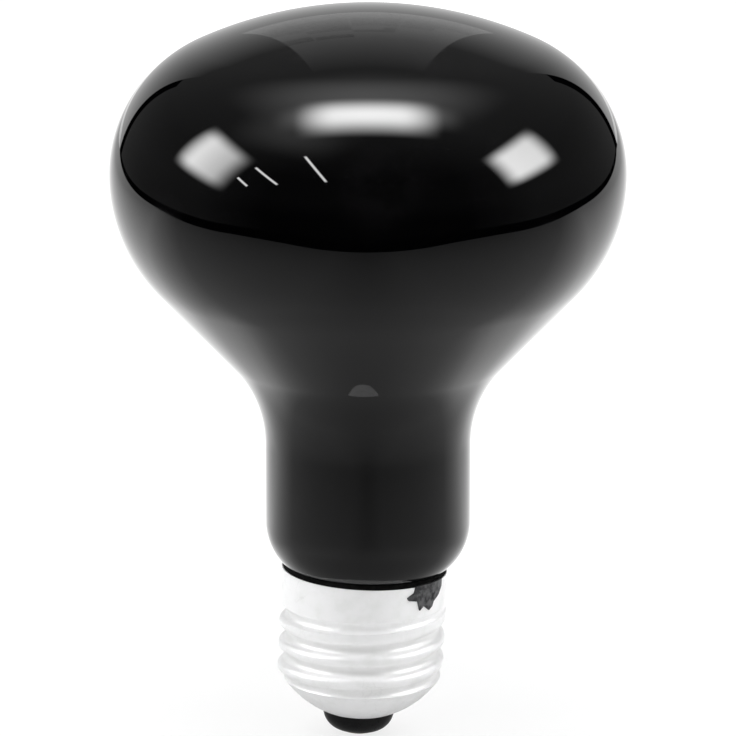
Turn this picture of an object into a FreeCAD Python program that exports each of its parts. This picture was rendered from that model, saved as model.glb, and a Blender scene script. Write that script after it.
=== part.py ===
import FreeCAD, Part
import math
import os

import Sketcher

# Reflector lamp with black glass and a screw cap.
# The origin is the tip of the centre contact, and +Z runs along the cap's axis to the glass.

doc = FreeCAD.newDocument("black_light_bulb")

# Driving dimensions, in millimetres and degrees
driving = {
    # glass: crown, widest ring, reflector cone and neck
    "overall_height": 116.3,
    "head_diameter": 80.0,
    "crown_height": 26.0,
    "ring_arc_radius": 22.1,
    "bowl_arc_radius": 25.8,
    "cone_angle": 43.6,
    "neck_fillet_radius": 18.8,
    "neck_diameter": 32.1,
    # glass: shoulder above the cap, sealed end and tipped-off tube inside it
    "shoulder_radius": 9.5,
    "rim_gap": 0.8,
    "seal_fillet_radius": 4.0,
    "seal_diameter": 18.4,
    "seal_height": 17.0,
    "seal_edge_radius": 1.5,
    "nib_diameter": 4.6,
    "nib_height": 10.2,
    # the glass is cemented slightly askew, about a point on the cap's axis
    "glass_lean": 2.3,
    "lean_pivot_height": 40.8,
    # screw shell: collar, rolled thread and spherical foot
    "cap_height": 27.0,
    "collar_diameter": 26.0,
    "collar_bottom": 21.0,
    "shell_wall": 0.3,
    "thread_diameter": 26.2,
    "thread_pitch": 3.629,
    "thread_arc_radius": 1.025,
    "crest_land": 0.3,
    "thread_turns": 5,
    "runout_height": 19.85,
    "runout_turns": 0.6,
    "runout_angle": 180.0,
    "foot_height": 10.5,
    "foot_radius": 14.9,
    "lip_diameter": 11.2,
    # cement ring and its bead above the rim
    "cement_bottom": 18.5,
    "bead_lap": 0.15,
    "bead_reach": 2.0,
    # contact stack at the tip
    "contact_solder_height": 0.3,
    "contact_solder_diameter": 4.4,
    "contact_flat_diameter": 1.6,
    "contact_plate_thickness": 0.2,
    "contact_plate_diameter": 5.0,
    "eyelet_diameter": 2.2,
    "eyelet_wall": 0.25,
    "eyelet_gap": 0.05,
    "eyelet_flange": 0.6,
    "insulator_top": 7.0,
    "insulator_edge_radius": 3.2,
    # lead wires inside the cap
    "lead_diameter": 0.4,
    "lead_bend_radius": 1.2,
    "lead_spread": 6.0,
    "lead_sunk": 1.5,
    "side_lead_depth": 14.4,
    "side_lead_reach": 10.2,
    "centre_lead_bend": 12.0,
    "centre_lead_entry": 8.6,
    "lead_wall_gap": 0.1,
    "centre_lead_angle": 180.0,
    # soldered joint on the collar
    "dab_angle": 48.0,
    "dab_width": 8.0,
    "dab_drop": 4.1,
    "dab_thickness": 0.25,
    "dab_overlap": 0.9,
}

sizes = doc.addObject("Spreadsheet::Sheet", "Sizes")
for row, (alias, number) in enumerate(driving.items(), start=1):
    sizes.set(f"A{row}", str(number))
    sizes.setAlias(f"A{row}", alias)
doc.recompute()


def size(alias):
    return f"Sizes.{alias}"


def half(alias):
    return f"(Sizes.{alias} / 2)"


def worked_out(expression):
    return float(sizes.evalExpression(expression))


def new_body(label):
    body = doc.addObject("PartDesign::Body", label)
    body.Label = label
    return body


def new_sketch(body, name, role):
    sketch = body.newObject("Sketcher::SketchObject", name)
    plane = next(feature for feature in body.Origin.OriginFeatures if feature.Role == role)
    sketch.AttachmentSupport = [(plane, "")]
    sketch.MapMode = "FlatFace"
    return sketch


def bind(sketch, constraint, expression):
    index = sketch.addConstraint(constraint)
    sketch.setExpression(f"Constraints[{index}]", expression)


def pin_point(sketch, geometry, end, across, up):
    """Hold one end of a line or arc at a place worked out from the sheet."""
    origin, level_axis, upright_axis = -1, -1, -2
    for kind, place, axis in (("DistanceX", across, upright_axis), ("DistanceY", up, level_axis)):
        if place == "0":
            sketch.addConstraint(Sketcher.Constraint("PointOnObject", geometry, end, axis))
        else:
            held = Sketcher.Constraint(kind, origin, 1, geometry, end, worked_out(place))
            bind(sketch, held, place)


def arc_between(start, end, radius, turn):
    """The short arc from start to end that turns left or right."""
    chord = end - start
    aside = FreeCAD.Vector(-chord.y, chord.x, 0).normalize()
    rise = math.sqrt(max(radius**2 - (chord.Length / 2) ** 2, 0))
    centre = (start + end) / 2 + aside * (rise if turn == "left" else -rise)
    first, last = (start, end) if turn == "left" else (end, start)
    angles = [math.atan2(point.y - centre.y, point.x - centre.x) for point in (first, last)]
    circle = Part.Circle(centre, FreeCAD.Vector(0, 0, 1), radius)
    return Part.ArcOfCircle(circle, *angles)


def draw_outline(sketch, outline):
    """Draw a closed outline. Each entry is a corner, and the arc that leaves it if there is one."""
    corners = [FreeCAD.Vector(worked_out(across), worked_out(up), 0) for across, up, *_ in outline]
    ends = []
    for start, end, (_, _, *arc) in zip(corners, corners[1:] + corners[:1], outline):
        if arc:
            radius, turn = arc
            sketch.addGeometry(arc_between(start, end, worked_out(radius), turn))
            ends.append((1, 2) if turn == "left" else (2, 1))
        else:
            sketch.addGeometry(Part.LineSegment(start, end))
            ends.append((1, 2))
    for index, (across, up, *arc) in enumerate(outline):
        following = (index + 1) % len(outline)
        joined = (index, ends[index][1], following, ends[following][0])
        sketch.addConstraint(Sketcher.Constraint("Coincident", *joined))
        pin_point(sketch, index, ends[index][0], across, up)
        if arc:
            bind(sketch, Sketcher.Constraint("Radius", index, worked_out(arc[0])), arc[0])


def revolve(body, outline):
    sketch = new_sketch(body, f"{body.Label}_section", "XZ_Plane")
    draw_outline(sketch, outline)
    turned = body.newObject("PartDesign::Revolution", f"{body.Label}_turned")
    turned.Profile = sketch
    turned.ReferenceAxis = (sketch, ["V_Axis"])
    turned.Angle = 360


def turn_about_axis(body, angle):
    """Swing a body about the cap's axis."""
    body.Placement = FreeCAD.Placement(FreeCAD.Vector(), FreeCAD.Rotation(FreeCAD.Vector(0, 0, 1), 1))
    body.setExpression(".Placement.Rotation.Angle", angle)


def cut_away(label, base, tool):
    cut = doc.addObject("Part::Cut", label)
    cut.Label = label
    cut.Base = base
    cut.Tool = tool
    return cut


# Cap sizes that several pieces share
collar_bore = f"({half('collar_diameter')} - Sizes.shell_wall)"
thread_radius = half("thread_diameter")
arc_radius = size("thread_arc_radius")
crest_sag = f"({arc_radius} - sqrt({arc_radius}^2 - {half('crest_land')}^2))"
centre_drop = f"sqrt(4 * {arc_radius}^2 - {half('thread_pitch')}^2)"
root_radius = f"({thread_radius} + {crest_sag} - 2 * {arc_radius} + {centre_drop})"
thread_bore = f"({root_radius} - Sizes.shell_wall)"
runout_rise = "(Sizes.runout_turns * Sizes.thread_pitch)"
runout_growth = f"({thread_radius} + {crest_sag} - {root_radius})"
bore_step_bottom = f"(Sizes.runout_height + {arc_radius})"
bore_step_top = f"({bore_step_bottom} + ({collar_bore} - {thread_bore}) * {runout_rise} / {runout_growth})"
foot_centre = f"(Sizes.foot_height + sqrt(Sizes.foot_radius^2 - {thread_radius}^2))"
foot_bore_radius = "(Sizes.foot_radius - Sizes.shell_wall)"
lip_radius = half("lip_diameter")
insulator_bottom = "(Sizes.contact_solder_height + Sizes.contact_plate_thickness)"
lead_top = "(Sizes.seal_height + Sizes.lead_sunk)"


def foot_level(sphere_radius, radius):
    """Height of the foot's sphere at a distance from the axis."""
    return f"({foot_centre} - sqrt({sphere_radius}^2 - {radius}^2))"


def make_glass():
    """Blown envelope as one closed solid, leaning on its pivot in the cap."""
    head = half("head_diameter")
    ring = size("ring_arc_radius")
    bowl = size("bowl_arc_radius")
    fillet = size("neck_fillet_radius")
    neck = half("neck_diameter")
    shoulder = size("shoulder_radius")
    seal = half("seal_diameter")
    seal_fillet = size("seal_fillet_radius")
    edge = size("seal_edge_radius")
    nib = half("nib_diameter")
    cosine = "cos(Sizes.cone_angle)"
    sine = "sin(Sizes.cone_angle)"

    widest = "(Sizes.overall_height - Sizes.crown_height)"
    rise = size("crown_height")
    crown = f"((({head} - {ring})^2 + {rise}^2 - {ring}^2) / (2 * ({rise} - {ring})))"
    crown_share = f"({crown} / ({crown} - {ring}))"
    crown_centre = f"(Sizes.overall_height - {crown})"
    bowl_end = f"({head} - {bowl} + {bowl} * {cosine})"
    bowl_end_height = f"({widest} - {bowl} * {sine})"
    fillet_top = f"({neck} + {fillet} - {fillet} * {cosine})"
    fillet_top_height = f"({bowl_end_height} - ({bowl_end} - {fillet_top}) / tan(Sizes.cone_angle))"
    neck_top = f"({fillet_top_height} - {fillet} * {sine})"
    shoulder_axis = f"({neck} - {shoulder})"
    rim_reach = f"({collar_bore} - Sizes.rim_gap - {shoulder_axis})"
    neck_bottom = f"(Sizes.cap_height + sqrt({shoulder}^2 - {rim_reach}^2))"
    centres_across = f"({seal} + {seal_fillet} - {shoulder_axis})"
    centres_apart = f"({shoulder} + {seal_fillet})"
    centres_up = f"sqrt({centres_apart}^2 - {centres_across}^2)"
    shoulder_share = f"({shoulder} / {centres_apart})"

    body = new_body("glass_bulb")
    revolve(
        body,
        [
            ("0", size("nib_height"), nib, "left"),
            (nib, f"Sizes.nib_height + {nib}"),
            (nib, size("seal_height")),
            (f"{seal} - {edge}", size("seal_height"), edge, "left"),
            (seal, f"Sizes.seal_height + {edge}"),
            (seal, f"{neck_bottom} - {centres_up}", seal_fillet, "right"),
            (
                f"{shoulder_axis} + {centres_across} * {shoulder_share}",
                f"{neck_bottom} - {centres_up} * {shoulder_share}",
                shoulder,
                "left",
            ),
            (neck, neck_bottom),
            (neck, neck_top, fillet, "right"),
            (fillet_top, fillet_top_height),
            (bowl_end, bowl_end_height, bowl, "left"),
            (head, widest, ring, "left"),
            (
                f"({head} - {ring}) * {crown_share}",
                f"{crown_centre} + ({widest} - {crown_centre}) * {crown_share}",
                crown,
                "left",
            ),
            ("0", size("overall_height")),
        ],
    )
    lean_axis = FreeCAD.Vector(0, -1, 0)
    body.Placement = FreeCAD.Placement(FreeCAD.Vector(), FreeCAD.Rotation(lean_axis, 1))
    body.setExpression(".Placement.Rotation.Angle", size("glass_lean"))
    body.setExpression(".Placement.Base.x", "Sizes.lean_pivot_height * sin(Sizes.glass_lean)")
    body.setExpression(".Placement.Base.z", "Sizes.lean_pivot_height * (1 - cos(Sizes.glass_lean))")
    return body


def groove_section(body, name, level):
    """Section of the groove between two crests, with its root at a level."""
    crest = f"({thread_radius} + {crest_sag})"
    flank = f"({root_radius} + {arc_radius} - {centre_drop} / 2)"
    flank_rise = "(Sizes.thread_pitch / 4)"
    edge_gap = f"({half('crest_land')} / 2)"
    edge = f"({crest} - {arc_radius} + sqrt({arc_radius}^2 - {edge_gap}^2))"
    edge_rise = f"({half('thread_pitch')} - {edge_gap})"
    outside = f"({crest} + {arc_radius})"
    sketch = new_sketch(body, name, "XZ_Plane")
    draw_outline(
        sketch,
        [
            (edge, f"{level} - {edge_rise}", arc_radius, "left"),
            (flank, f"{level} - {flank_rise}", arc_radius, "right"),
            (flank, f"{level} + {flank_rise}", arc_radius, "left"),
            (edge, f"{level} + {edge_rise}"),
            (outside, f"{level} + {edge_rise}"),
            (outside, f"{level} - {edge_rise}"),
        ],
    )
    return sketch


def cut_helix(body, name, section, height, angle):
    helix = body.newObject("PartDesign::SubtractiveHelix", name)
    helix.Profile = section
    helix.ReferenceAxis = (section, ["V_Axis"])
    helix.Mode = "pitch-height-angle"
    helix.Refine = False
    helix.setExpression("Pitch", size("thread_pitch"))
    helix.setExpression("Height", height)
    helix.setExpression("Angle", angle)
    doc.recompute()


def make_screw_shell():
    """Drawn shell with a rolled round thread that fades out below the collar."""
    collar = half("collar_diameter")
    body = new_body("screw_shell")
    revolve(
        body,
        [
            (lip_radius, foot_level(size("foot_radius"), lip_radius), size("foot_radius"), "left"),
            (thread_radius, size("foot_height")),
            (thread_radius, size("collar_bottom")),
            (collar, f"Sizes.collar_bottom + {thread_radius} - {collar}"),
            (collar, size("cap_height")),
            (collar_bore, size("cap_height")),
            (collar_bore, bore_step_top),
            (thread_bore, bore_step_bottom),
            (thread_bore, foot_level(foot_bore_radius, thread_bore), foot_bore_radius, "right"),
            (lip_radius, foot_level(foot_bore_radius, lip_radius)),
        ],
    )

    threaded = "(Sizes.thread_turns * Sizes.thread_pitch)"
    groove = groove_section(body, "groove_section", f"(Sizes.runout_height - {threaded})")
    cut_helix(body, "rolled_thread", groove, threaded, "0")
    fading = groove_section(body, "runout_section", size("runout_height"))
    cut_helix(body, "thread_runout", fading, runout_rise, f"atan({runout_growth} / {runout_rise})")
    turn_about_axis(body, size("runout_angle"))
    return body


def make_insulator():
    """Moulded glass dish that closes the foot and carries the centre contact."""
    edge = size("insulator_edge_radius")
    lip_level = foot_level(size("foot_radius"), lip_radius)
    edge_rise = f"({lip_level} - {insulator_bottom} - {edge})"
    face_radius = f"({lip_radius} - sqrt({edge}^2 - {edge_rise}^2))"
    top_radius = f"sqrt({foot_bore_radius}^2 - ({foot_centre} - Sizes.insulator_top)^2)"
    hole = f"({half('eyelet_diameter')} + Sizes.eyelet_gap)"
    body = new_body("insulator")
    revolve(
        body,
        [
            (hole, insulator_bottom),
            (face_radius, insulator_bottom, edge, "left"),
            (lip_radius, lip_level),
            (lip_radius, foot_level(foot_bore_radius, lip_radius), foot_bore_radius, "left"),
            (top_radius, size("insulator_top")),
            (hole, size("insulator_top")),
        ],
    )
    return body


def make_centre_contact():
    """Contact plate with an eyelet that is flanged over inside the cap."""
    eyelet = half("eyelet_diameter")
    bore = f"({eyelet} - Sizes.eyelet_wall)"
    flange = f"({eyelet} + Sizes.eyelet_flange)"
    plate = half("contact_plate_diameter")
    top = "(Sizes.insulator_top + Sizes.eyelet_wall)"
    body = new_body("centre_contact")
    revolve(
        body,
        [
            (bore, size("contact_solder_height")),
            (plate, size("contact_solder_height")),
            (plate, insulator_bottom),
            (eyelet, insulator_bottom),
            (eyelet, size("insulator_top")),
            (flange, size("insulator_top")),
            (flange, top),
            (bore, top),
        ],
    )
    return body


def make_contact_solder():
    """Domed solder on the contact plate, worn flat at its tip."""
    rise = size("contact_solder_height")
    edge = half("contact_solder_diameter")
    flat = half("contact_flat_diameter")
    dome_centre = f"(({edge}^2 - {flat}^2 + {rise}^2) / (2 * {rise}))"
    dome_radius = f"sqrt({flat}^2 + {dome_centre}^2)"
    body = new_body("contact_solder")
    revolve(body, [("0", "0"), (flat, "0", dome_radius, "left"), (edge, rise), ("0", rise)])
    return body


def draw_bent_path(sketch, corners, bend):
    """Draw straight runs through the corners, with a tangent arc at each bend."""
    places = [FreeCAD.Vector(worked_out(across), worked_out(up), 0) for across, up in corners]
    runs = [(end - start).normalize() for start, end in zip(places, places[1:])]
    setbacks = [0.0]
    for before, after in zip(runs, runs[1:]):
        setbacks.append(worked_out(bend) * math.tan(before.getAngle(after) / 2))
    setbacks.append(0.0)
    for index, run in enumerate(runs):
        start = places[index] + run * setbacks[index]
        end = places[index + 1] - run * setbacks[index + 1]
        sketch.addGeometry(Part.LineSegment(start, end))
    pin_point(sketch, 0, 1, *corners[0])
    pin_point(sketch, len(runs) - 1, 2, *corners[-1])
    for index, (before, after) in enumerate(zip(runs, runs[1:])):
        corner = places[index + 1]
        turn = "left" if before.cross(after).z > 0 else "right"
        start = corner - before * setbacks[index + 1]
        end = corner + after * setbacks[index + 1]
        arc = sketch.addGeometry(arc_between(start, end, worked_out(bend), turn))
        first, last = (1, 2) if turn == "left" else (2, 1)
        sketch.addConstraint(Sketcher.Constraint("Tangent", index, 2, arc, first))
        sketch.addConstraint(Sketcher.Constraint("Tangent", arc, last, index + 1, 1))
        bind(sketch, Sketcher.Constraint("Radius", arc, worked_out(bend)), bend)
        mark = sketch.addGeometry(Part.Point(corner), True)
        pin_point(sketch, mark, 1, *corners[index + 1])
        sketch.addConstraint(Sketcher.Constraint("PointOnObject", mark, 1, index))
        sketch.addConstraint(Sketcher.Constraint("PointOnObject", mark, 1, index + 1))


def make_lead(label, corners, angle, glass):
    """Bent wire in a plane through the cap's axis, from the glass seal."""
    body = new_body(f"{label}_whole")
    path = new_sketch(body, f"{label}_path", "XZ_Plane")
    draw_bent_path(path, corners, size("lead_bend_radius"))
    across, up = corners[0]
    section = new_sketch(body, f"{label}_section", "XY_Plane")
    section.setExpression(".AttachmentOffset.Base.z", up)
    centre = FreeCAD.Vector(worked_out(across), 0, 0)
    radius = half("lead_diameter")
    section.addGeometry(Part.Circle(centre, FreeCAD.Vector(0, 0, 1), worked_out(radius)))
    pin_point(section, 0, 3, across, "0")
    bind(section, Sketcher.Constraint("Radius", 0, worked_out(radius)), radius)
    wire = body.newObject("PartDesign::AdditivePipe", f"{label}_wire")
    wire.Profile = section
    wire.Spine = (path, [f"Edge{number}" for number in range(1, 2 * len(corners) - 2)])
    turn_about_axis(body, angle)
    return cut_away(label, body, glass)


def make_side_lead(glass):
    off_wall = f"(Sizes.lead_wall_gap + {half('lead_diameter')})"
    corners = [
        (size("lead_spread"), lead_top),
        (size("lead_spread"), size("side_lead_depth")),
        (size("side_lead_reach"), size("side_lead_depth")),
        (f"{thread_bore} - {off_wall}", bore_step_bottom),
        (f"{collar_bore} - {off_wall}", size("cap_height")),
    ]
    return make_lead("side_lead_wire", corners, "Sizes.dab_angle - 90", glass)


def make_centre_lead(glass):
    corners = [
        (size("lead_spread"), lead_top),
        (size("lead_spread"), size("centre_lead_bend")),
        ("0", size("centre_lead_entry")),
        ("0", size("contact_solder_height")),
    ]
    return make_lead("centre_lead_wire", corners, size("centre_lead_angle"), glass)


def make_side_solder(glass, lead):
    """Ragged dab of solder over the rim and down the collar, where the side lead ends."""
    collar = half("collar_diameter")
    rim = size("cap_height")
    outside = f"({collar} + Sizes.dab_thickness)"
    inside = f"({collar} - Sizes.dab_overlap)"
    top = f"({rim} + Sizes.dab_thickness)"
    bottom = f"({rim} - Sizes.dab_drop - Sizes.dab_thickness)"
    skin = new_body("side_solder_skin")
    revolve(
        skin,
        [
            (collar, bottom),
            (outside, bottom),
            (outside, top),
            (inside, top),
            (inside, rim),
            (collar, rim),
        ],
    )
    # corners of the dab as shares of its width and of its drop below the rim
    above_rim = -0.1
    ragged = [
        (-0.29, above_rim),
        (-0.33, 0.20),
        (-0.48, 0.36),
        (-0.45, 0.48),
        (-0.24, 0.55),
        (-0.18, 0.93),
        (-0.08, 0.78),
        (0.08, 1.0),
        (0.18, 0.88),
        (0.22, 0.71),
        (0.40, 0.51),
        (0.51, 0.22),
        (0.52, above_rim),
    ]
    prism = new_body("side_solder_prism")
    outline = new_sketch(prism, "side_solder_outline", "XZ_Plane")
    draw_outline(
        outline,
        [(f"{across} * Sizes.dab_width", f"{rim} - {down} * Sizes.dab_drop") for across, down in ragged],
    )
    pad = prism.newObject("PartDesign::Pad", "side_solder_pad")
    pad.Profile = outline
    pad.setExpression("Length", size("collar_diameter"))
    turn_about_axis(prism, size("dab_angle"))
    patch = doc.addObject("Part::Common", "side_solder_patch")
    patch.Base = skin
    patch.Tool = prism
    off_glass = cut_away("side_solder_off_glass", patch, glass)
    return cut_away("side_solder", off_glass, lead)


def make_cement(glass, lead, solder):
    """Basing cement between glass and shell, with a bead that shows above the rim."""
    bead = f"({collar_bore} + Sizes.bead_lap)"
    bead_top = "(Sizes.cap_height + Sizes.bead_reach)"
    fill = new_body("cap_cement_fill")
    revolve(
        fill,
        [
            ("0", size("cement_bottom")),
            (thread_bore, size("cement_bottom")),
            (thread_bore, bore_step_bottom),
            (collar_bore, bore_step_top),
            (collar_bore, size("cap_height")),
            (bead, size("cap_height")),
            (bead, bead_top),
            ("0", bead_top),
        ],
    )
    around_glass = cut_away("cap_cement_around_glass", fill, glass)
    around_lead = cut_away("cap_cement_around_lead", around_glass, lead)
    return cut_away("cap_cement", around_lead, solder)


glass_bulb = make_glass()
side_lead = make_side_lead(glass_bulb)
side_solder = make_side_solder(glass_bulb, side_lead)
sub_parts = [
    glass_bulb,
    make_screw_shell(),
    make_cement(glass_bulb, side_lead, side_solder),
    make_insulator(),
    make_centre_contact(),
    make_contact_solder(),
    side_solder,
    side_lead,
    make_centre_lead(glass_bulb),
]
doc.recompute()

failed = [item.Name for item in doc.Objects if "Invalid" in item.State or "Error" in item.State]
if failed:
    raise RuntimeError(f"features that failed: {failed}")
for item in sub_parts:
    if item.Shape.isNull() or not item.Shape.isValid():
        raise RuntimeError(f"{item.Label} has no valid shape")

os.makedirs("parts", exist_ok=True)
for item in sub_parts:
    item.Shape.exportStep(f"parts/{item.Label}.step")
    print(item.Label, len(item.Shape.Solids), round(item.Shape.Volume, 3))
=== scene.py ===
import math

import bmesh
import bpy
from mathutils import Matrix, Vector


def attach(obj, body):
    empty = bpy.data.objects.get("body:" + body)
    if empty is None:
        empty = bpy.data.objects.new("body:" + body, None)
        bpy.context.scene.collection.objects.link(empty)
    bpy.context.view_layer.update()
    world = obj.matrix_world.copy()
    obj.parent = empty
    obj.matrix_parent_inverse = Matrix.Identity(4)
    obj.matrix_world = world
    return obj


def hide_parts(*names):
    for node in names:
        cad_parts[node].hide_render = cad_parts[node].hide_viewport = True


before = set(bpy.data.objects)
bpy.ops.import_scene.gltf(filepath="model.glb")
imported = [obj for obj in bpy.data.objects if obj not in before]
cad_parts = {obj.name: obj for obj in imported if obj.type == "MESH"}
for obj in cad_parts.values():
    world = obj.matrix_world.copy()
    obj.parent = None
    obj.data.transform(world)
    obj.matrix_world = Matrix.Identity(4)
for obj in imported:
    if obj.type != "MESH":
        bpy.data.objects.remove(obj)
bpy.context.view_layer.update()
print("frame loaded:", sorted(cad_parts))

# the glass sits askew in the cap, so the upright stage and camera share the glass's own axis
lean = {"angle": math.radians(2.3), "pivot": Vector((0, 0, 0.0408))}
uprightToFrame = (
    Matrix.Translation(lean["pivot"])
    @ Matrix.Rotation(-lean["angle"], 4, "Y")
    @ Matrix.Translation(-lean["pivot"])
)


def addNode(tree, kind, inputs):
    node = tree.nodes.new(kind)
    for name, value in inputs.items():
        node.inputs[name].default_value = value
    return node


def feed(tree, socket, value):
    if isinstance(value, bpy.types.NodeSocket):
        tree.links.new(value, socket)
    else:
        socket.default_value = value


def mathNode(tree, operation, first, second=None):
    node = tree.nodes.new("ShaderNodeMath")
    node.operation = operation
    for socket, value in zip(node.inputs, (first, second)):
        if value is not None:
            feed(tree, socket, value)
    return node.outputs[0]


def rangeNode(tree, value, fromMin, fromMax, toMin, toMax, smooth=False):
    node = tree.nodes.new("ShaderNodeMapRange")
    node.interpolation_type = "SMOOTHSTEP" if smooth else "LINEAR"
    names = ("From Min", "From Max", "To Min", "To Max")
    for name, number in zip(names, (fromMin, fromMax, toMin, toMax)):
        node.inputs[name].default_value = number
    tree.links.new(value, node.inputs["Value"])
    return node.outputs["Result"]


def mixColour(tree, share, first, second):
    node = tree.nodes.new("ShaderNodeMix")
    node.data_type = "RGBA"
    tree.links.new(share, node.inputs["Factor"])
    for socket, value in ((node.inputs[6], first), (node.inputs[7], second)):  # its two colours
        feed(tree, socket, (*value, 1) if isinstance(value, tuple) else value)
    return node.outputs[2]  # its mixed colour


def noiseNode(tree, vector, scale, detail, roughness=0.5):
    inputs = {"Scale": scale, "Detail": detail, "Roughness": roughness}
    node = addNode(tree, "ShaderNodeTexNoise", inputs)
    tree.links.new(vector, node.inputs["Vector"])
    return node.outputs["Fac"]


def coordNode(tree, kind):
    return tree.nodes.new("ShaderNodeTexCoord").outputs[kind]


def splitNode(tree, vector):
    node = tree.nodes.new("ShaderNodeSeparateXYZ")
    tree.links.new(vector, node.inputs[0])
    return node.outputs


def newMaterial(name, inputs):
    material = bpy.data.materials.new(name)
    material.use_nodes = True
    tree = material.node_tree
    shader = tree.nodes["Principled BSDF"]
    for socket, value in inputs.items():
        shader.inputs[socket].default_value = value
    return material, tree, shader, coordNode(tree, "Object")


def addBump(tree, shader, height, strength, distance):
    bump = addNode(tree, "ShaderNodeBump", {"Strength": strength, "Distance": distance})
    tree.links.new(height, bump.inputs["Height"])
    tree.links.new(bump.outputs["Normal"], shader.inputs["Normal"])


def newGroup(name, outputs):
    group = bpy.data.node_groups.new(name, "ShaderNodeTree")
    group.interface.new_socket("Vector", in_out="INPUT", socket_type="NodeSocketVector")
    for output in outputs:
        group.interface.new_socket(output, in_out="OUTPUT", socket_type="NodeSocketFloat")
    where = group.nodes.new("NodeGroupInput").outputs["Vector"]
    return group, where, group.nodes.new("NodeGroupOutput").inputs


def useGroup(tree, group, where):
    node = tree.nodes.new("ShaderNodeGroup")
    node.node_tree = group
    tree.links.new(where, node.inputs["Vector"])
    return node.outputs


def newObject(name, bm):
    mesh = bpy.data.meshes.new(name)
    bm.to_mesh(mesh)
    bm.free()
    piece = bpy.data.objects.new(name, mesh)
    bpy.context.scene.collection.objects.link(piece)
    return piece


# glass envelope, in metres, up its own axis from the contact's tip
glassBulb = {
    "height": 0.1163,
    "headRadius": 0.040,
    "crownHeight": 0.026,
    "ringRadius": 0.0221,
    "bowlRadius": 0.0258,
    "coneAngle": math.radians(43.6),
    "filletRadius": 0.0188,
    "neckRadius": 0.01605,
    "shoulderRadius": 0.0095,
    "shoulderReach": 0.0119,  # out to the glass where it enters the cap
    "rimHeight": 0.027,
    "sealFillet": 0.004,
    "sealRadius": 0.0092,
    "sealHeight": 0.017,
    "sealEdge": 0.0015,
    "nibRadius": 0.0023,
    "nibHeight": 0.0102,
    "steps": {  # along each stretch of the outline, from the crown down
        "crown": 20, "ring": 28, "bowl": 20, "cone": 6, "fillet": 24, "neck": 8, "shoulder": 20,
        "sealFillet": 8, "sealWall": 2, "sealEdge": 4, "sealFace": 2, "nibWall": 2, "nibEnd": 6,
    },
    "turns": 256,
    "mergeDistance": 1e-6,
}


def arcOn(bm, vert, centre, sweep, steps):
    made = bmesh.ops.spin(
        bm, geom=[vert], cent=(centre[0], 0, centre[1]), axis=(0, 1, 0), angle=sweep, steps=steps
    )
    return next(item for item in made["geom_last"] if isinstance(item, bmesh.types.BMVert))


def lineOn(bm, vert, across, up, steps):
    start, end = vert.co.copy(), Vector((across, 0, up))
    for step in range(steps):
        made = bmesh.ops.extrude_vert_indiv(bm, verts=[vert])
        vert = made["verts"][0]
        vert.co = start.lerp(end, (step + 1) / steps)
    return vert


def makeGlass(size):
    head, ring, bowl = size["headRadius"], size["ringRadius"], size["bowlRadius"]
    fillet, neck, shoulder = size["filletRadius"], size["neckRadius"], size["shoulderRadius"]
    cone, rise, steps = size["coneAngle"], size["crownHeight"], size["steps"]
    seal, sealFillet, edge = size["sealRadius"], size["sealFillet"], size["sealEdge"]
    nib, quarter = size["nibRadius"], math.pi / 2
    widest = size["height"] - rise
    crown = ((head - ring) ** 2 + rise**2 - ring**2) / (2 * (rise - ring))
    crownCentre = size["height"] - crown
    crownSweep = math.atan2(head - ring, widest - crownCentre)
    bowlEnd = Vector((head - bowl + bowl * math.cos(cone), widest - bowl * math.sin(cone)))
    filletTop = neck + fillet - fillet * math.cos(cone)
    filletTopHeight = bowlEnd.y - (bowlEnd.x - filletTop) / math.tan(cone)
    neckTop = filletTopHeight - fillet * math.sin(cone)
    shoulderAxis = neck - shoulder
    shoulderDrop = math.sqrt(shoulder**2 - (size["shoulderReach"] - shoulderAxis) ** 2)
    neckBottom = size["rimHeight"] + shoulderDrop
    sealAxis = seal + sealFillet
    apart = shoulder + sealFillet
    sealTop = neckBottom - math.sqrt(apart**2 - (sealAxis - shoulderAxis) ** 2)
    shoulderSweep = math.atan2(neckBottom - sealTop, sealAxis - shoulderAxis)
    sealWallEnd = size["sealHeight"] + edge
    nibWallEnd = size["nibHeight"] + nib

    bm = bmesh.new()
    vert = bm.verts.new((0, 0, size["height"]))
    vert = arcOn(bm, vert, (0, crownCentre), crownSweep, steps["crown"])
    vert = arcOn(bm, vert, (head - ring, widest), quarter - crownSweep, steps["ring"])
    vert = arcOn(bm, vert, (head - bowl, widest), cone, steps["bowl"])
    vert = lineOn(bm, vert, filletTop, filletTopHeight, steps["cone"])
    vert = arcOn(bm, vert, (neck + fillet, neckTop), -cone, steps["fillet"])
    vert = lineOn(bm, vert, neck, neckBottom, steps["neck"])
    vert = arcOn(bm, vert, (shoulderAxis, neckBottom), shoulderSweep, steps["shoulder"])
    vert = arcOn(bm, vert, (sealAxis, sealTop), -shoulderSweep, steps["sealFillet"])
    vert = lineOn(bm, vert, seal, sealWallEnd, steps["sealWall"])
    vert = arcOn(bm, vert, (seal - edge, sealWallEnd), quarter, steps["sealEdge"])
    vert = lineOn(bm, vert, nib, size["sealHeight"], steps["sealFace"])
    vert = lineOn(bm, vert, nib, nibWallEnd, steps["nibWall"])
    arcOn(bm, vert, (0, nibWallEnd), quarter, steps["nibEnd"])

    outline = bm.verts[:] + bm.edges[:]
    bmesh.ops.spin(
        bm, geom=outline, cent=(0, 0, 0), axis=(0, 0, 1), angle=math.tau,
        steps=size["turns"], use_merge=True,
    )
    bmesh.ops.remove_doubles(bm, verts=bm.verts, dist=size["mergeDistance"])
    bmesh.ops.recalc_face_normals(bm, faces=bm.faces)
    bmesh.ops.transform(bm, matrix=uprightToFrame, verts=bm.verts)
    for face in bm.faces:
        face.smooth = True
    return newObject("black_glass_envelope", bm)


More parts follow.
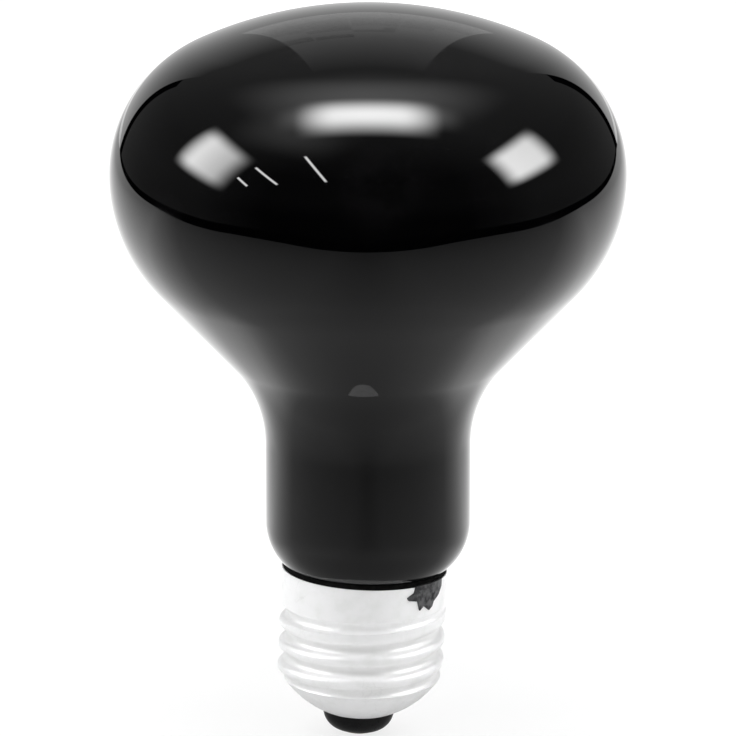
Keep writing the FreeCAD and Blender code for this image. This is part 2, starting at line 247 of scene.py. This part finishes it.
glassMarks = {
    "patches": {"scale": 45.0, "detail": 3.0},
    "patchRange": (0.48, 0.66),
    "streaks": {"scale": 240.0, "detail": 6.0, "roughness": 0.65},
    "streakRange": (0.38, 0.62),
    "specks": {"scale": 2400.0, "detail": 2.0},
    "speckRange": (0.73, 0.78),
    "wave": {"scale": 28.0, "detail": 1.0, "roughness": 0.4},
}


def makeGlassWear(marks):
    group, where, out = newGroup("glassWear", ("Smudge", "Specks", "Wave"))
    patchNoise = noiseNode(group, where, **marks["patches"])
    streakNoise = noiseNode(group, where, **marks["streaks"])
    speckNoise = noiseNode(group, where, **marks["specks"])
    patches = rangeNode(group, patchNoise, *marks["patchRange"], 0, 1, smooth=True)
    streaks = rangeNode(group, streakNoise, *marks["streakRange"], 0, 1, smooth=True)
    group.links.new(mathNode(group, "MULTIPLY", patches, streaks), out["Smudge"])
    group.links.new(rangeNode(group, speckNoise, *marks["speckRange"], 0, 1), out["Specks"])
    group.links.new(noiseNode(group, where, **marks["wave"]), out["Wave"])
    return group


metalMarks = {
    "stain": {"scale": 380.0, "detail": 5.0, "roughness": 0.6},
    "lines": {"scale": 7000.0, "detail": 3.0},
    "lineStretch": 0.0006,  # the lines run round the axis
    "crackScale": 260.0,
    "crackWidth": 0.025,
    "wanderScale": 500.0,
    "wander": 0.003,
    "patches": {"scale": 150.0, "detail": 2.0},
    "patchRange": (0.5, 0.62),
}


def makeMetalWear(marks):
    outputs = ("Stain", "Lines", "Scratches", "Radius", "Height")
    group, where, out = newGroup("metalWear", outputs)
    parts = splitNode(group, where)
    squares = [mathNode(group, "MULTIPLY", parts[axis], parts[axis]) for axis in ("X", "Y")]
    radius = mathNode(group, "SQRT", mathNode(group, "ADD", *squares))
    angle = mathNode(group, "ARCTAN2", parts["Y"], parts["X"])
    around = group.nodes.new("ShaderNodeCombineXYZ")
    group.links.new(mathNode(group, "MULTIPLY", angle, marks["lineStretch"]), around.inputs["X"])
    group.links.new(radius, around.inputs["Y"])
    group.links.new(parts["Z"], around.inputs["Z"])
    group.links.new(noiseNode(group, where, **marks["stain"]), out["Stain"])
    group.links.new(noiseNode(group, around.outputs[0], **marks["lines"]), out["Lines"])

    wander = addNode(group, "ShaderNodeTexNoise", {"Scale": marks["wanderScale"]})
    group.links.new(where, wander.inputs["Vector"])
    bent = group.nodes.new("ShaderNodeVectorMath")
    bent.operation = "MULTIPLY_ADD"
    group.links.new(wander.outputs["Color"], bent.inputs[0])
    bent.inputs[1].default_value = [marks["wander"]] * 3
    group.links.new(where, bent.inputs[2])
    veins = addNode(group, "ShaderNodeTexVoronoi", {"Scale": marks["crackScale"]})
    veins.feature = "DISTANCE_TO_EDGE"
    group.links.new(bent.outputs[0], veins.inputs["Vector"])
    cracks = rangeNode(group, veins.outputs["Distance"], 0, marks["crackWidth"], 1, 0)
    patchNoise = noiseNode(group, where, **marks["patches"])
    patches = rangeNode(group, patchNoise, *marks["patchRange"], 0, 1)
    group.links.new(mathNode(group, "MULTIPLY", cracks, patches), out["Scratches"])
    group.links.new(radius, out["Radius"])
    group.links.new(parts["Z"], out["Height"])
    return group


glassFinish = {
    "ior": 1.5,
    "clean": (0.0004, 0.0004, 0.0005),
    "smudged": (0.0016, 0.0015, 0.0017),
    "dust": (0.008, 0.008, 0.0085),
    "roughness": (0.02, 0.07),
    "bump": {"strength": 0.1, "distance": 0.001},
}


def blackGlass(wear, finish):
    material, tree, shader, where = newMaterial("blackGlass", {"IOR": finish["ior"]})
    marks = useGroup(tree, wear, where)
    tint = mixColour(tree, marks["Smudge"], finish["clean"], finish["smudged"])
    dusty = mixColour(tree, marks["Specks"], tint, finish["dust"])
    rough = rangeNode(tree, marks["Smudge"], 0, 1, *finish["roughness"])
    tree.links.new(dusty, shader.inputs["Base Color"])
    tree.links.new(rough, shader.inputs["Roughness"])
    addBump(tree, shader, marks["Wave"], **finish["bump"])
    return material


insulatorFinish = {
    "ior": 1.4,
    "clean": (0.001, 0.001, 0.0012),
    "smudged": (0.004, 0.004, 0.0043),
    "roughness": (0.12, 0.4),
    "lumps": {"scale": 700.0, "detail": 3.0},
    "bump": {"strength": 0.15, "distance": 0.0002},
}


def insulatorGlass(wear, finish):
    material, tree, shader, where = newMaterial("insulatorGlass", {"IOR": finish["ior"]})
    marks = useGroup(tree, wear, where)
    tint = mixColour(tree, marks["Smudge"], finish["clean"], finish["smudged"])
    rough = rangeNode(tree, marks["Smudge"], 0, 1, *finish["roughness"])
    tree.links.new(tint, shader.inputs["Base Color"])
    tree.links.new(rough, shader.inputs["Roughness"])
    addBump(tree, shader, noiseNode(tree, where, **finish["lumps"]), **finish["bump"])
    return material


capFinish = {
    "metallic": 0.4,
    "stainRange": (0.4, 0.72),
    "clean": (0.90, 0.90, 0.905),
    "stained": (0.85, 0.855, 0.85),
    "rootRadii": (0.0120, 0.0128),  # painted shade darkens the roots of the thread
    "rootShadeShare": 0.35,
    "threadStart": (0.0085, 0.0105),
    "rootShadeColour": (0.62, 0.62, 0.61),
    "scratchShare": 0.25,
    "scratched": (0.6, 0.6, 0.6),
    "lineRange": (0.3, 0.7),
    "roughness": (0.46, 0.58),
    "stainRoughness": 0.06,
    "bump": {"strength": 0.12, "distance": 0.00004},
}


def capMetal(wear, finish):
    material, tree, shader, where = newMaterial("capMetal", {"Metallic": finish["metallic"]})
    marks = useGroup(tree, wear, where)
    stain = rangeNode(tree, marks["Stain"], *finish["stainRange"], 0, 1, smooth=True)
    bare = mixColour(tree, stain, finish["clean"], finish["stained"])
    # painted shade: the colour darkens towards the roots of the thread, within the threaded
    # height
    root = rangeNode(
        tree, marks["Radius"], *finish["rootRadii"], finish["rootShadeShare"], 0, smooth=True
    )
    inThread = rangeNode(tree, marks["Height"], *finish["threadStart"], 0, 1)
    rootShaded = mixColour(tree, mathNode(tree, "MULTIPLY", root, inThread), bare, finish["rootShadeColour"])
    scratches = mathNode(tree, "MULTIPLY", marks["Scratches"], finish["scratchShare"])
    worn = mixColour(tree, scratches, rootShaded, finish["scratched"])
    lines = rangeNode(tree, marks["Lines"], *finish["lineRange"], *finish["roughness"])
    stainRough = mathNode(tree, "MULTIPLY", stain, finish["stainRoughness"])
    tree.links.new(worn, shader.inputs["Base Color"])
    tree.links.new(mathNode(tree, "ADD", lines, stainRough), shader.inputs["Roughness"])
    addBump(tree, shader, marks["Lines"], **finish["bump"])
    return material


cementFinish = {
    "ior": 1.12,
    "grain": {"scale": 1800.0, "detail": 5.0, "roughness": 0.65},
    "tintRange": (0.45, 0.7),
    "dark": (0.002, 0.002, 0.002),
    "light": (0.009, 0.009, 0.0085),
    "roughRange": (0.3, 0.7),
    "roughness": (0.75, 0.95),
    "bump": {"strength": 0.5, "distance": 0.0002},
}


def blackCement(finish):
    material, tree, shader, where = newMaterial("cement", {"IOR": finish["ior"]})
    grain = noiseNode(tree, where, **finish["grain"])
    light = rangeNode(tree, grain, *finish["tintRange"], 0, 1)
    tint = mixColour(tree, light, finish["dark"], finish["light"])
    rough = rangeNode(tree, grain, *finish["roughRange"], *finish["roughness"])
    tree.links.new(tint, shader.inputs["Base Color"])
    tree.links.new(rough, shader.inputs["Roughness"])
    addBump(tree, shader, grain, **finish["bump"])
    return material


metalFinishes = {
    "contactMetal": {
        "nodes": ("centre_contact",), "roughness": 0.35, "lumps": 700.0,
        "bright": (0.78, 0.62, 0.36), "dull": (0.30, 0.21, 0.11),
    },
    "tipSolder": {
        "nodes": ("contact_solder",), "roughness": 0.42, "lumps": 900.0,
        "bright": (0.66, 0.66, 0.67), "dull": (0.28, 0.28, 0.29),
    },
    "sideSolder": {
        "nodes": ("side_solder",), "roughness": 0.6, "lumps": 800.0,
        "bright": (0.20, 0.20, 0.205), "dull": (0.06, 0.06, 0.063),
    },
    "leadWire": {
        "nodes": ("side_lead_wire", "centre_lead_wire"), "roughness": 0.35, "lumps": 1500.0,
        "bright": (0.62, 0.60, 0.57), "dull": (0.35, 0.33, 0.31),
    },
}
metalMottle = {  # shared by the small metal pieces
    "metallic": 1.0,
    "noise": {"detail": 5.0, "roughness": 0.6},
    "tintRange": (0.38, 0.62),
    "tintGain": 1.6,
    "roughRange": (0.3, 0.7),
    "roughSpread": (0.8, 1.25),
    "bump": {"strength": 0.5, "distance": 0.0002},
}


def wornMetal(wear, name, finish, mottle):
    material, tree, shader, where = newMaterial(name, {"Metallic": mottle["metallic"]})
    marks = useGroup(tree, wear, where)
    lumps = noiseNode(tree, where, finish["lumps"], **mottle["noise"])
    mottled = rangeNode(tree, lumps, *mottle["tintRange"], 0, 1, smooth=True)
    stained = mathNode(tree, "MULTIPLY", mottled, marks["Stain"])
    share = mathNode(tree, "MULTIPLY", stained, mottle["tintGain"])
    tint = mixColour(tree, share, finish["bright"], finish["dull"])
    scratched = mixColour(tree, marks["Scratches"], tint, finish["dull"])
    spread = [finish["roughness"] * factor for factor in mottle["roughSpread"]]
    rough = rangeNode(tree, lumps, *mottle["roughRange"], *spread)
    tree.links.new(scratched, shader.inputs["Base Color"])
    tree.links.new(rough, shader.inputs["Roughness"])
    addBump(tree, shader, lumps, **mottle["bump"])
    return material


def paint(nodeName, material):
    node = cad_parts[nodeName]
    node.data.materials.clear()
    node.data.materials.append(material)


glassWear, metalWear = makeGlassWear(glassMarks), makeMetalWear(metalMarks)
envelope = makeGlass(glassBulb)
envelope.data.materials.append(blackGlass(glassWear, glassFinish))
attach(envelope, "root")
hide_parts("glass_bulb")
paint("screw_shell", capMetal(metalWear, capFinish))
paint("cap_cement", blackCement(cementFinish))
paint("insulator", insulatorGlass(glassWear, insulatorFinish))
for name, finish in metalFinishes.items():
    metal = wornMetal(metalWear, name, finish, metalMottle)
    for nodeName in finish["nodes"]:
        paint(nodeName, metal)
print("pieces and finishes made")


# studio round the lamp, in metres and degrees: azimuth 0 faces the camera side
studio = {
    "middle": Vector((0, 0, 0.09)),  # the lights aim at the head
    "reach": 0.9,
    "boxLight": 4.5,  # most that a box gives to matt surfaces
    "panelSegments": 12,
}
softBoxes = {
    "leftBox": {
        "azimuth": -78, "elevation": 23.6, "width": 0.60, "height": 0.50, "roll": -15,
        "taper": 1.0, "soft": (0.34, 0.28), "dimSide": 0.35, "glow": 19.0,
    },
    "rightBox": {
        "azimuth": 78, "elevation": 24.0, "width": 0.60, "height": 0.44, "roll": 10,
        "taper": 1.0, "soft": (0.32, 0.30), "dimSide": 0.6, "glow": 20.0,
    },
    "overheadBox": {
        "azimuth": 0, "elevation": 77, "width": 1.0, "height": 0.62, "roll": 0,
        "taper": 0.68, "soft": (0.32, 0.48), "dimSide": 1.0, "glow": 15.5,
    },
    "overheadWings": {
        "azimuth": 0, "elevation": 79, "width": 1.3, "height": 0.45, "roll": 0,
        "taper": 0.8, "soft": (0.5, 0.5), "dimSide": 1.0, "glow": 4.2,
    },
    "leftHaze": {
        "azimuth": -50, "elevation": 54, "width": 0.95, "height": 0.62, "roll": 0,
        "taper": 1.0, "soft": (0.5, 0.5), "dimSide": 1.0, "glow": 0.5,
    },
    "overheadHaze": {
        "azimuth": 180, "elevation": 86, "width": 1.5, "height": 1.0, "roll": 0,
        "taper": 1.0, "soft": (0.50, 0.50), "dimSide": 1.0, "glow": 1.3,
    },
}
slimLight = {"thickness": 0.028, "glow": 15.5, "soft": (0.08, 0.4)}
slimLights = {  # azimuth and elevation of both ends
    "firstSlimLight": {"from": (-60.3, 17.6), "to": (-54.0, 13.0)},
    "secondSlimLight": {"from": (-54.4, 26.7), "to": (-40.1, 17.0)},
    "thirdSlimLight": {"from": (-33.8, 40.7), "to": (-18.3, 21.9)},
}


def lightPathNode(tree):
    return tree.nodes.new("ShaderNodeLightPath").outputs


def clearShader(tree):
    return tree.nodes.new("ShaderNodeBsdfTransparent").outputs[0]


def mixShaders(tree, share, first, second):
    node = tree.nodes.new("ShaderNodeMixShader")
    for socket, value in zip(node.inputs, (share, first, second)):
        tree.links.new(value, socket)
    return node.outputs[0]


def stageMaterial(name):
    material = bpy.data.materials.new(name)
    material.use_nodes = True
    tree = material.node_tree
    tree.nodes.remove(tree.nodes["Principled BSDF"])
    return material, tree, tree.nodes["Material Output"].inputs["Surface"]


def softShare(tree, coords, soft):
    share = 1.0
    for axis, width in zip(("X", "Y"), soft):
        fromMiddle = mathNode(tree, "ABSOLUTE", mathNode(tree, "SUBTRACT", coords[axis], 0.5))
        edge = rangeNode(tree, fromMiddle, 0.5, 0.5 - width, 0, 1, smooth=True)
        share = mathNode(tree, "MULTIPLY", edge, share)
    return share


# a panel adds its glow to what is behind it, and more of it in reflections than as light
def addedLight(tree, surface, share, glow, light):
    mirrored = mathNode(tree, "MULTIPLY", lightPathNode(tree)["Is Glossy Ray"], glow - light)
    strength = mathNode(tree, "MULTIPLY", mathNode(tree, "ADD", mirrored, light), share)
    emission = tree.nodes.new("ShaderNodeEmission")
    tree.links.new(strength, emission.inputs["Strength"])
    both = tree.nodes.new("ShaderNodeAddShader")
    tree.links.new(emission.outputs[0], both.inputs[0])
    tree.links.new(clearShader(tree), both.inputs[1])
    tree.links.new(both.outputs[0], surface)


def towards(azimuth, elevation):
    turn, lift = math.radians(azimuth), math.radians(elevation)
    level = math.cos(lift)
    return Vector((math.sin(turn) * level, -math.cos(turn) * level, math.sin(lift)))


def facing(out, side):
    place = Matrix.Translation(studio["middle"] + out * studio["reach"])
    return place @ Matrix((side, out.cross(side), out)).transposed().to_4x4()


def newPanel(name, width, height, taper, place, material):
    count = studio["panelSegments"]
    bm = bmesh.new()
    bm.loops.layers.uv.new("panel")
    bmesh.ops.create_grid(bm, x_segments=count, y_segments=count, size=0.5, calc_uvs=True)
    for vert in bm.verts:
        vert.co.x *= width * (1 + (taper - 1) * (vert.co.y + 0.5))
        vert.co.y *= height
    bmesh.ops.transform(bm, matrix=uprightToFrame @ place, verts=bm.verts)
    panel = newObject(name, bm)
    panel.data.materials.append(material)
    panel.visible_camera = False


def addSoftBox(name, box):
    out = towards(box["azimuth"], box["elevation"])
    side = Vector((0, 0, 1)).cross(out).normalized()
    place = facing(out, side) @ Matrix.Rotation(math.radians(box["roll"]), 4, "Z")
    material, tree, surface = stageMaterial(f"{name}Glow")
    coords = splitNode(tree, coordNode(tree, "UV"))
    slope = rangeNode(tree, coords["X"], 0, 1, 1, box["dimSide"])
    share = mathNode(tree, "MULTIPLY", softShare(tree, coords, box["soft"]), slope)
    addedLight(tree, surface, share, box["glow"], min(box["glow"], studio["boxLight"]))
    newPanel(name, box["width"], box["height"], box["taper"], place, material)


def addSlimLight(name, ends):
    first, last = towards(*ends["from"]), towards(*ends["to"])
    out = (first + last).normalized()
    side = (last - first).normalized()
    material, tree, surface = stageMaterial(f"{name}Glow")
    share = softShare(tree, splitNode(tree, coordNode(tree, "UV")), slimLight["soft"])
    addedLight(tree, surface, share, slimLight["glow"], 0.0)
    length = (last - first).length * studio["reach"]
    newPanel(name, length, slimLight["thickness"], 1.0, facing(out, side), material)


backWalls = {
    "lowWall": {
        "bottom": -0.05, "top": 1.15, "middle": -0.05, "width": 1.60,
        "taper": 1.0, "glow": 0.77, "fade": 0.85,
    },
    "tallWall": {
        "bottom": 0.5, "top": 2.0, "middle": 0.0, "width": 0.5,
        "taper": 1.4, "glow": 0.47, "fade": 0.9,
    },
}
wallPlace = 1.3
wallTrim = {
    "width": 0.14,
    "bottom": -0.05,
    "top": 0.9,
    "middles": {"leftWallTrim": -0.92, "rightWallTrim": 0.82},
}


def onWall(middle, bottom, tall):
    place = Matrix.Translation((middle, wallPlace, bottom + tall / 2))
    return place @ Matrix.Rotation(math.pi / 2, 4, "X")


def addWall(name, wall):
    tall = wall["top"] - wall["bottom"]
    place = onWall(wall["middle"], wall["bottom"], tall)
    material, tree, surface = stageMaterial(f"{name}Paper")
    height = splitNode(tree, coordNode(tree, "UV"))["Y"]
    share = rangeNode(tree, height, 1, 1 - wall["fade"], 0, 1)
    addedLight(tree, surface, share, wall["glow"], 0.0)
    newPanel(name, wall["width"], tall, wall["taper"], place, material)


def addWallTrim(name, middle):
    tall = wallTrim["top"] - wallTrim["bottom"]
    place = onWall(middle, wallTrim["bottom"], tall)
    material, tree, surface = stageMaterial(f"{name}Paint")
    black = addNode(tree, "ShaderNodeEmission", {"Strength": 0.0}).outputs[0]
    isMirrored = lightPathNode(tree)["Is Glossy Ray"]  # the trim shows only in reflections
    tree.links.new(mixShaders(tree, isMirrored, clearShader(tree), black), surface)
    newPanel(name, wallTrim["width"], tall, 1.0, place, material)


floorSheet = {
    "outline": [(0.2, -0.2), (0.42, 0.08), (1.3, 2.6)],  # right half, front to back
    "round": 0.08,
    "roundSegments": 8,
    "trimScale": 1.38,
    "trimDrop": 0.002,
    "frontGlow": 0.23,
    "middleGlow": 0.62,
    "backGlow": 1.45,
    "backReach": 0.09,
    "sideReach": (0.1, 0.4),
    "sideGlow": 0.5,
    "footShade": 0.35,
    "footReach": 0.06,
    "bandReach": 0.05,  # brighter ring of floor behind the foot
    "bandWidth": 0.03,
    "bandBehind": 0.02,
    "bandGain": 0.32,
    "dipDepth": 0.2,  # darker strip of floor in front of the foot
    "dipReach": (-0.06, -0.02),
    "dipWidth": 0.05,
    "shadowShare": 0.22,
    "albedo": 0.95,
}


def floorGlow(tree, sheet):
    where = coordNode(tree, "Object")
    parts = splitNode(tree, where)
    depth = parts["Y"]
    length = tree.nodes.new("ShaderNodeVectorMath")
    length.operation = "LENGTH"
    tree.links.new(where, length.inputs[0])
    away = length.outputs["Value"]
    fromMiddle = mathNode(tree, "ABSOLUTE", parts["X"])
    frontEdge, backGain = sheet["outline"][0][1], sheet["backGlow"] - sheet["middleGlow"]
    front = rangeNode(tree, depth, frontEdge, 0, sheet["frontGlow"], sheet["middleGlow"])
    back = rangeNode(tree, depth, 0, sheet["backReach"], 0, backGain)
    shade = rangeNode(tree, away, 0, sheet["footReach"], sheet["footShade"], 1)
    side = rangeNode(tree, fromMiddle, *sheet["sideReach"], 1, sheet["sideGlow"])
    fromBand = mathNode(tree, "ABSOLUTE", mathNode(tree, "SUBTRACT", away, sheet["bandReach"]))
    ring = rangeNode(tree, fromBand, 0, sheet["bandWidth"], sheet["bandGain"], 0)
    behind = rangeNode(tree, depth, 0, sheet["bandBehind"], 0, 1)
    strip = rangeNode(tree, fromMiddle, 0, sheet["dipWidth"], sheet["dipDepth"], 0, smooth=True)
    ahead = rangeNode(tree, depth, *sheet["dipReach"], 1, 0)
    band = mathNode(tree, "ADD", mathNode(tree, "MULTIPLY", ring, behind), 1)
    local = mathNode(tree, "SUBTRACT", band, mathNode(tree, "MULTIPLY", strip, ahead))
    dimmed = mathNode(tree, "MULTIPLY", mathNode(tree, "MULTIPLY", shade, side), local)
    return mathNode(tree, "MULTIPLY", mathNode(tree, "ADD", front, back), dimmed)


def floorPaper(sheet, isTrim):
    material, tree, surface = stageMaterial("floorTrim" if isTrim else "floorPaper")
    rays = lightPathNode(tree)
    isSeen, isMirrored = rays["Is Camera Ray"], rays["Is Glossy Ray"]
    glow = 0.0 if isTrim else floorGlow(tree, sheet)
    mirrored = mathNode(tree, "MULTIPLY", isMirrored, glow)
    emission = tree.nodes.new("ShaderNodeEmission")
    tree.links.new(mathNode(tree, "ADD", isSeen, mirrored), emission.inputs["Strength"])
    matt = addNode(tree, "ShaderNodeBsdfDiffuse", {"Color": (*[sheet["albedo"]] * 3, 1)})
    shown = mathNode(tree, "MULTIPLY", isSeen, 1 - sheet["shadowShare"])
    share = mathNode(tree, "ADD", shown, isMirrored)
    paper = mixShaders(tree, share, matt.outputs[0], emission.outputs[0])
    backfacing = tree.nodes.new("ShaderNodeNewGeometry").outputs["Backfacing"]
    under = mathNode(tree, "MULTIPLY", isSeen, backfacing)
    seeThrough = mixShaders(tree, under, paper, clearShader(tree))  # from below the lamp shows
    tree.links.new(seeThrough, surface)
    return material


def addFloor(name, sheet, scale, drop, material):
    bm = bmesh.new()
    right = [bm.verts.new((x, y, 0)) for x, y in sheet["outline"]]
    left = [bm.verts.new((-x, y, 0)) for x, y in reversed(sheet["outline"])]
    bm.faces.new(right + left)
    corners = [right[0], right[1], left[1], left[2]]
    bmesh.ops.bevel(
        bm, geom=corners, offset=sheet["round"], affect="VERTICES",
        segments=sheet["roundSegments"], profile=0.5, material=-1,
    )
    bmesh.ops.scale(bm, vec=(scale, scale, 1), verts=bm.verts)
    bmesh.ops.translate(bm, vec=(0, 0, -drop), verts=bm.verts)
    bmesh.ops.transform(bm, matrix=uprightToFrame, verts=bm.verts)
    floor = newObject(name, bm)
    floor.data.materials.append(material)


room = {  # white to the camera, and dim in reflections
    "ambient": 0.9,
    "front": 0.03,
    "low": 0.006,  # in front, below the floor's level
    "lowSpan": (-0.1, 0.1),
    "sides": 0.085,
    "sideSpan": (-0.7, -0.2),
    "ceiling": 0.065,
    "ceilingSpan": (0.4, 0.8),
}


def makeWorld():
    world = bpy.data.worlds.new("studioWorld")
    bpy.context.scene.world = world
    world.use_nodes = True
    tree = world.node_tree
    sky = tree.nodes["Background"]
    parts = splitNode(tree, coordNode(tree, "Generated"))
    front = rangeNode(tree, parts["Z"], *room["lowSpan"], room["low"], room["front"])
    sides = rangeNode(tree, parts["Y"], *room["sideSpan"], 0, room["sides"])
    ceiling = rangeNode(tree, parts["Z"], *room["ceilingSpan"], 0, room["ceiling"])
    glow = mathNode(tree, "ADD", mathNode(tree, "ADD", front, sides), ceiling)
    rays = lightPathNode(tree)
    ambient = room["ambient"]
    lessGlow = mathNode(tree, "SUBTRACT", glow, ambient)
    dark = mathNode(tree, "MULTIPLY", rays["Is Glossy Ray"], lessGlow)
    white = mathNode(tree, "MULTIPLY", rays["Is Camera Ray"], 1 - ambient)
    total = mathNode(tree, "ADD", mathNode(tree, "ADD", dark, white), ambient)
    tree.links.new(total, sky.inputs["Strength"])
    sky.inputs["Color"].default_value = (1, 1, 1, 1)


camera = {
    "elevation": 14.0,
    "distance": 0.80,
    "focalPixels": 5131.0,
    "pixels": 736,
    "sensor": 36.0,
    "clip": (0.05, 50.0),
    "target": Vector((0, 0, 0.05934)),
}


def makeCamera():
    data = bpy.data.cameras.new("camera")
    data.sensor_width = camera["sensor"]
    data.lens = data.sensor_width * camera["focalPixels"] / camera["pixels"]
    data.clip_start, data.clip_end = camera["clip"]
    view = bpy.data.objects.new("camera", data)
    bpy.context.scene.collection.objects.link(view)
    back = towards(0, camera["elevation"])
    right = Vector((1, 0, 0))
    turned = Matrix((right, back.cross(right), back)).transposed().to_4x4()
    place = Matrix.Translation(camera["target"] + back * camera["distance"])
    view.matrix_world = uprightToFrame @ place @ turned
    bpy.context.scene.camera = view


for name, box in softBoxes.items():
    addSoftBox(name, box)
for name, ends in slimLights.items():
    addSlimLight(name, ends)
for name, wall in backWalls.items():
    addWall(name, wall)
for name, middle in wallTrim["middles"].items():
    addWallTrim(name, middle)
addFloor("floor", floorSheet, 1.0, 0.0, floorPaper(floorSheet, False))
trimPaper = floorPaper(floorSheet, True)
addFloor("floorTrim", floorSheet, floorSheet["trimScale"], floorSheet["trimDrop"], trimPaper)
makeWorld()
makeCamera()
bpy.context.scene.view_settings.view_transform = "Standard"
print("studio and camera set")
